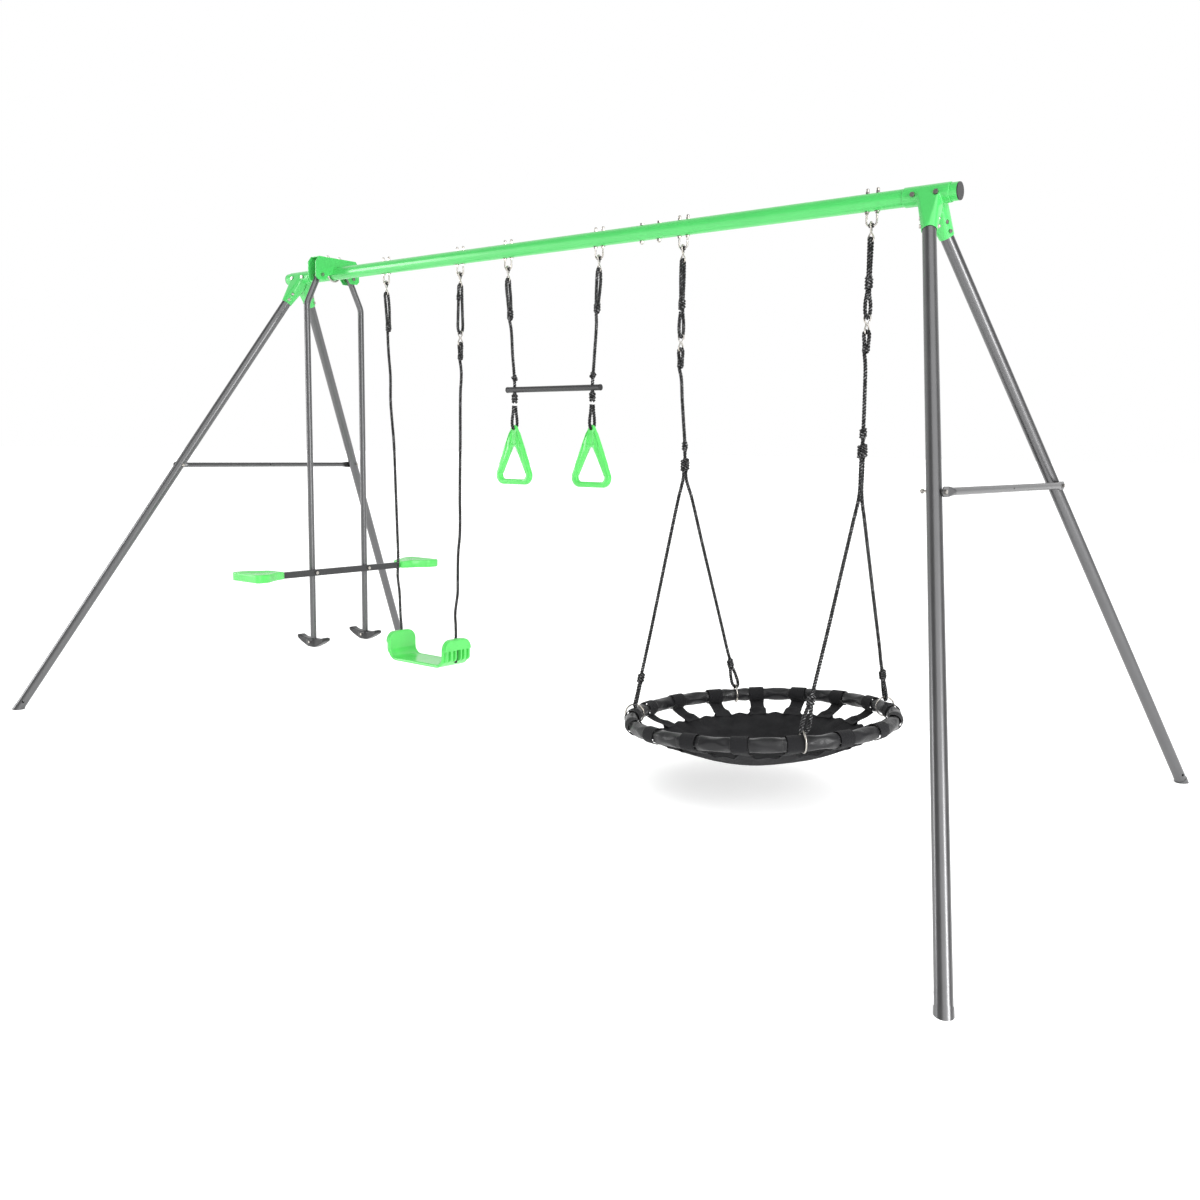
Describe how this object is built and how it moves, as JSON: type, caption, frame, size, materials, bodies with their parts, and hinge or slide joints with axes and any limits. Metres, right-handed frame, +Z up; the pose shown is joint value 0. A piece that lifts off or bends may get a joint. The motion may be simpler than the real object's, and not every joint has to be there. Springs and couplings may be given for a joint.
{
  "type": "swing set",
  "caption": "A-frame garden swing set of steel tube with a face-to-face glider, a belt swing, a trapeze bar with hand rings and a round nest swing.",
  "frame": {"origin": "on the ground under the middle of the beam", "axes": "+X along the beam towards the nest swing, +Y towards the rear legs, +Z up"},
  "size_m": [3.963, 2.1234, 1.8721],
  "materials": {
    "beam_paint": "glossy green powder coat on steel",
    "leg_paint": "satin grey powder coat on steel tube",
    "bar_paint": "satin dark grey powder coat",
    "zinc": "bright zinc plating",
    "green_plastic": "glossy green moulding",
    "black_plastic": "black moulding",
    "rope": "black braided rope",
    "pad_vinyl": "dark vinyl sleeve filled with foam",
    "webbing": "black woven webbing",
    "mat_fabric": "black woven mat"
  },
  "bodies": {
    "frame": {"beam_left": "beam_paint", "beam_right": "beam_paint", "beam_end_caps": "black_plastic", "bracket_left_front": "beam_paint", "bracket_left_rear": "beam_paint", "bracket_right_front": "beam_paint", "bracket_right_rear": "beam_paint", "bracket_fasteners": "zinc", "leg_left_front": "leg_paint", "leg_left_rear": "leg_paint", "leg_right_front": "leg_paint", "leg_right_rear": "leg_paint", "foot_caps": "leg_paint", "brace_left": "leg_paint", "brace_right": "leg_paint", "brace_fasteners": "zinc", "splice_fasteners": "zinc", "hanger_ubolts": "zinc", "hanger_nuts": "zinc", "hanger_bushings": "black_plastic", "glider_bracket": "beam_paint", "glider_clamp": "zinc", "glider_pivots": "zinc"},
    "glider_front": {"glider_hanger_front": "leg_paint", "glider_peg_front": "black_plastic", "glider_peg_bolt_front": "zinc"},
    "glider_rear": {"glider_hanger_rear": "leg_paint", "glider_peg_rear": "black_plastic", "glider_peg_bolt_rear": "zinc"},
    "glider_bar": {"glider_crossbar": "bar_paint", "glider_seat_front": "green_plastic", "glider_seat_rear": "green_plastic", "glider_bar_bolts": "zinc"},
    "belt_swing": {"belt_hooks": "zinc", "belt_rope_left": "rope", "belt_adjuster": "rope", "belt_rope_right": "rope", "belt_knots": "rope", "belt_seat": "green_plastic"},
    "trapeze": {"trapeze_hooks": "zinc", "trapeze_rope_left": "rope", "trapeze_rope_right": "rope", "trapeze_knots": "rope", "trapeze_bar": "bar_paint", "trapeze_bar_plugs": "black_plastic"},
    "hand_ring_left": {"ring_rope_left": "rope", "ring_left": "green_plastic"},
    "hand_ring_right": {"ring_rope_right": "rope", "ring_right": "green_plastic"},
    "nest": {"nest_hooks": "zinc", "nest_adjusters": "rope", "nest_ropes_left": "rope", "nest_ropes_right": "rope", "nest_knots": "rope", "nest_links": "zinc", "nest_ring": "bar_paint", "nest_pads": "pad_vinyl", "nest_straps": "webbing", "nest_mat": "mat_fabric"}
  },
  "joints": [
    {"name": "glider_front_swing", "type": "hinge", "parent": "frame", "child": "glider_front", "pos_m": [-1.19, -0.08, 1.787], "axis": [1, 0, 0], "range_deg": [-20, 20]},
    {"name": "glider_rear_swing", "type": "hinge", "parent": "frame", "child": "glider_rear", "pos_m": [-1.19, 0.08, 1.787], "axis": [1, 0, 0], "range_deg": [-20, 20]},
    {"name": "glider_bar_tilt", "type": "hinge", "parent": "glider_front", "child": "glider_bar", "pos_m": [-1.19, -0.14, 0.557], "axis": [1, 0, 0], "range_deg": [-12, 12]},
    {"name": "belt_swing_hinge", "type": "hinge", "parent": "frame", "child": "belt_swing", "pos_m": [-0.65, 0, 1.736], "axis": [1, 0, 0], "range_deg": [-60, 60]},
    {"name": "trapeze_swing", "type": "hinge", "parent": "frame", "child": "trapeze", "pos_m": [0.02, 0, 1.736], "axis": [1, 0, 0], "range_deg": [-60, 60]},
    {"name": "ring_left_swing", "type": "hinge", "parent": "trapeze", "child": "hand_ring_left", "pos_m": [-0.157, 0, 1.251], "axis": [1, 0, 0], "range_deg": [-45, 45]},
    {"name": "ring_right_swing", "type": "hinge", "parent": "trapeze", "child": "hand_ring_right", "pos_m": [0.211, 0, 1.251], "axis": [1, 0, 0], "range_deg": [-45, 45]},
    {"name": "nest_swing", "type": "hinge", "parent": "frame", "child": "nest", "pos_m": [0.9065, 0, 1.736], "axis": [1, 0, 0], "range_deg": [-45, 45]}
  ],
  "couplings": [
    {"joint": "glider_rear_swing", "follows": "glider_front_swing", "ratio": 1},
    {"joint": "glider_bar_tilt", "follows": "glider_front_swing", "ratio": -0.5714}
  ]
}
